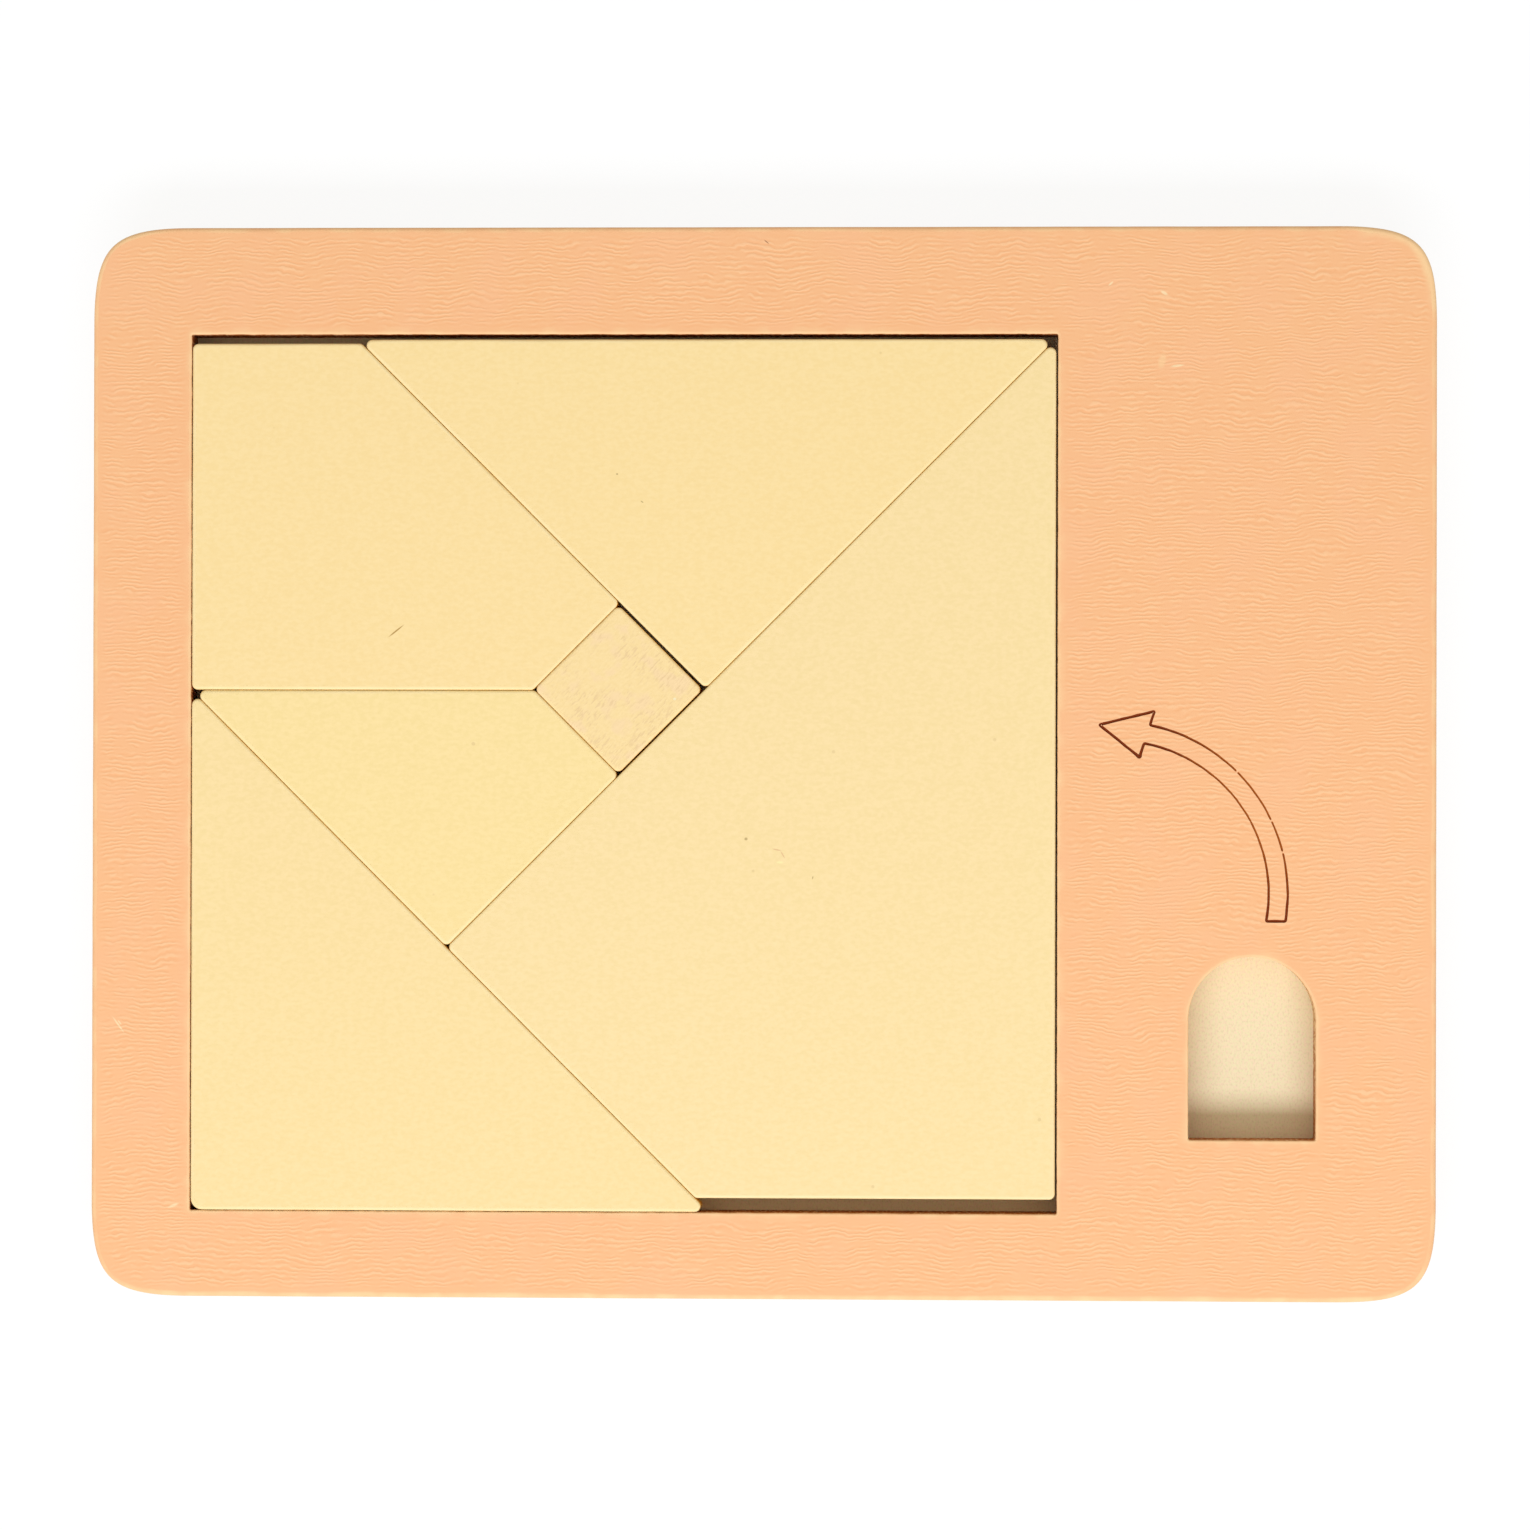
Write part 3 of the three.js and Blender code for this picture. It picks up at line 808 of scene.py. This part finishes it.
def piece_paint(name, tint):
    """Satin pale yellow paint with a faint mottle, a few flecks and small marks, with painted shade and
    highlight on a dent and a painted sheen on the sanded edges.
    """
    finish = Finish(name, roughness=0.5)
    dull = [share * level for share, level in zip(PIECE_DULL, tint)]
    pale = [min(PIECE_BRIGHTEST, share * level) for share, level in zip(PIECE_PALE, tint)]
    colour = finish.speckle(dull, pale, (0.6, 0.45, 0.6))
    flecks = finish.node("ShaderNodeTexVoronoi", {"Vector": finish.at((4.5, 4.5, 4.5)), "Scale": 1})
    fleck = finish.remap(flecks.outputs["Distance"], 0.03, 0.06, 1, 0)
    lot = finish.node("ShaderNodeSeparateXYZ", {0: flecks.outputs["Color"]}).outputs[0]
    chosen = finish.remap(lot, 0.7, 0.8)
    faint = finish.math("MULTIPLY", finish.math("MULTIPLY", fleck, chosen), 0.5)
    colour = finish.mix(colour, PIECE_FLECK_COLOUR, faint)
    colour = finish.marked(colour, PIECE_SCRATCH_COLOUR, PIECE_SCRATCHES)
    colour = finish.marked(colour, PIECE_SPECK_COLOUR, PIECE_SPECKS)
    # The dent: painted shade with marked paint in its strokes, and a painted highlight below it
    colour = finish.marked(colour, PIECE_DENT_MARK_AND_SHADE, PIECE_DENT)
    colour = finish.marked(colour, PIECE_DENT_HIGHLIGHT_COLOUR, [PIECE_DENT_HIGHLIGHT])
    # The sanded edges are paler: thinner paint, and a painted sheen where the rounded edges catch the
    # light
    uneven = finish.remap(finish.noise(5), 0.3, 0.7, 0.2, 0.7)
    colour = finish.mix(colour, PIECE_WORN_AND_SHEEN, finish.math("MULTIPLY", finish.value("sanded"), uneven))
    height = finish.math("MULTIPLY", finish.noise((0.9, 0.45, 0.9), detail=1), PIECE_RELIEF)
    return finish.finish(painted_sides(finish, colour), height)


def square_paint():
    """Thin pale yellow paint with the wood grain showing through."""
    finish = Finish("square_paint", roughness=0.55)
    streaks = finish.noise((0.7, 0.2, 0.7), SQUARE_GRAIN_TURN, detail=1)
    patches = finish.remap(finish.noise(3.2), 0.35, 0.6)
    grain = finish.math("MULTIPLY", finish.remap(streaks, 0.5, 0.7), patches)
    colour = finish.speckle(*SQUARE_YELLOW, (0.5, 0.36, 0.5))
    colour = finish.mix(colour, SQUARE_PINK, finish.remap(finish.noise(2.6), 0.5, 0.65, 0, 0.7))
    colour = finish.mix(colour, SQUARE_GRAIN, finish.math("MULTIPLY", grain, 0.6))
    colour = finish.marked(colour, SQUARE_SPECK_COLOUR, [SQUARE_SPECK])
    height = finish.math("MULTIPLY", streaks, SQUARE_RELIEF)
    return finish.finish(painted_sides(finish, colour), height)


def back_veneer(finish):
    """The underside's veneer, with the long loops of a peeled log and fine pores along them."""
    bands = finish.noise((75, 13, 75), BACK_GRAIN_TURN, detail=3, roughness=0.4)
    loops = finish.math("SINE", finish.math("MULTIPLY", bands, BACK_LOOPS))
    colour = finish.mix(*BACK_VENEER, finish.remap(loops, -1, 1))
    pores = finish.noise((4, 0.17, 4), BACK_GRAIN_TURN)
    return finish.mix(colour, BACK_PORE, finish.remap(pores, 0.52, 0.8, 0, 0.6))


def base_wood():
    """Bare pale plywood: fine speckled grain above, a figured veneer below, plies on its edges."""
    finish = Finish("bare_plywood", roughness=0.7)
    grain = finish.noise((0.5, 3, 0.5), detail=3)
    pores = finish.noise((0.2, 0.35, 0.2))
    colour = finish.mix(*BASE_WOOD, finish.remap(grain, 0.3, 0.65))
    colour = finish.mix(colour, finish.speckle(*BASE_SPECKLE, 0.3), 0.6)
    colour = finish.mix(colour, BASE_PORE, finish.remap(pores, 0.45, 0.75, 0, 0.5))
    lowest_ply = finish.remap(finish.coordinate("Z"), PLY / 2 * MM, PLY * MM, 1, 0)
    colour = finish.mix(colour, back_veneer(finish), lowest_ply)
    colour = finish.mix(colour, ply_edges(finish), finish.value("sanded"))
    height = finish.math("MULTIPLY", pores, WOOD_RELIEF)
    return finish.finish(colour, height)


# Stage


def light_path_is_seen(tree):
    """1 on rays that show a surface as it is: straight, mirrored or through glass."""
    path = tree.nodes.new("ShaderNodeLightPath")
    seen = path.outputs["Is Camera Ray"]
    for name in ("Is Glossy Ray", "Is Transmission Ray"):
        either = tree.nodes.new("ShaderNodeMath")
        either.operation = "MAXIMUM"
        tree.links.new(seen, either.inputs[0])
        tree.links.new(path.outputs[name], either.inputs[1])
        seen = either.outputs[0]
    return seen


def floor():
    """A white floor that keeps a pale shadow."""
    data = bpy.data.meshes.new("floor")
    signs = ((-1, -1), (1, -1), (1, 1), (-1, 1))
    corners = [(x * FLOOR_REACH * MM, y * FLOOR_REACH * MM, 0) for x, y in signs]
    data.from_pydata(corners, [], [(0, 1, 2, 3)])
    plane = bpy.data.objects.new("floor", data)
    bpy.context.scene.collection.objects.link(plane)
    material = bpy.data.materials.new("floor")
    material.use_nodes = True
    tree = material.node_tree
    tree.nodes.remove(tree.nodes["Principled BSDF"])
    plain = tree.nodes.new("ShaderNodeBsdfDiffuse")
    plain.inputs["Color"].default_value = FLOOR_GREY
    shaded = tree.nodes.new("ShaderNodeBsdfDiffuse")
    shaded.inputs["Color"].default_value = FLOOR_SHADED
    white = tree.nodes.new("ShaderNodeEmission")
    white.inputs["Strength"].default_value = FLOOR_GLOW
    both = tree.nodes.new("ShaderNodeAddShader")
    tree.links.new(shaded.outputs[0], both.inputs[0])
    tree.links.new(white.outputs[0], both.inputs[1])
    choice = tree.nodes.new("ShaderNodeMixShader")
    tree.links.new(light_path_is_seen(tree), choice.inputs[0])
    tree.links.new(plain.outputs[0], choice.inputs[1])
    tree.links.new(both.outputs[0], choice.inputs[2])
    tree.links.new(choice.outputs[0], tree.nodes["Material Output"].inputs["Surface"])
    data.materials.append(material)
    plane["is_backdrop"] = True


def sky():
    """Even, slightly warm light from all round, seen as white."""
    world = bpy.data.worlds.new("sky")
    world.use_nodes = True
    tree = world.node_tree
    light = tree.nodes["Background"]
    light.inputs["Color"].default_value = (*SKY_COLOUR, 1)
    light.inputs["Strength"].default_value = SKY_STRENGTH
    white = tree.nodes.new("ShaderNodeBackground")
    white.inputs["Color"].default_value = (1, 1, 1, 1)
    choice = tree.nodes.new("ShaderNodeMixShader")
    tree.links.new(light_path_is_seen(tree), choice.inputs[0])
    tree.links.new(light.outputs[0], choice.inputs[1])
    tree.links.new(white.outputs[0], choice.inputs[2])
    tree.links.new(choice.outputs[0], tree.nodes["World Output"].inputs["Surface"])
    bpy.context.scene.world = world


def key_light():
    """A long soft box on the pocket's flat-ended side of the tray."""
    light = bpy.data.lights.new("key", "AREA")
    light.shape = "RECTANGLE"
    light.size, light.size_y = (length * MM for length in KEY_SIZE)
    light.energy = KEY_POWER
    light.color = KEY_COLOUR
    lamp = bpy.data.objects.new("key", light)
    lamp.location = KEY_DISTANCE * MM * Vector((0, -math.cos(KEY_ELEVATION), math.sin(KEY_ELEVATION)))
    lamp.rotation_euler = (math.pi / 2 - KEY_ELEVATION, 0, 0)
    bpy.context.scene.collection.objects.link(lamp)


def camera():
    """Straight above the tray, but for a small lean towards the pocket."""
    target = Vector((*PICTURE_CENTRE * MM, cad_bounds[1].z))
    lens = bpy.data.cameras.new("camera")
    lens.lens = lens.sensor_width * CAMERA_HEIGHT / (PICTURE * PIXEL)
    eye = bpy.data.objects.new("camera", lens)
    turn = Euler((-CAMERA_LEAN_Y, CAMERA_LEAN_X, CAMERA_ROLL), "ZXY").to_matrix()
    eye.location = target + CAMERA_HEIGHT * MM * turn.col[2]
    eye.rotation_euler = turn.to_euler()
    bpy.context.scene.collection.objects.link(eye)
    bpy.context.scene.camera = eye


camera()
floor()
sky()
key_light()
bpy.context.scene.view_settings.view_transform = "Standard"

frame_board([frame_paint(), engraved_line()])
base_board(base_wood())

# The yellow pieces: name, CAD node, body and colour
PIECES = (
    ("pentagon_painted", "corner_pentagon", "pentagon_piece", (0.99, 0.75, 0.365)),
    ("triangle_painted", "top_triangle", "top_triangle_piece", (0.99, 0.752, 0.365)),
    ("kite_painted", "large_kite", "kite_piece", (0.967, 0.752, 0.383)),
    ("trapezoid_painted", "trapezoid", "trapezoid_piece", (0.975, 0.762, 0.359)),
    ("corner_painted", "corner_triangle", "corner_triangle_piece", (0.967, 0.747, 0.369)),
)
for name, node, body, tint in PIECES:
    loose_piece(name, node, body, piece_paint(name, tint))
loose_piece("square_painted", "small_square", "square_piece", square_paint())

visual_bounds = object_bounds()
boxes = {"cad": cad_bounds, "visual": visual_bounds}
{name: [list(corner) for corner in box] for name, box in boxes.items()}
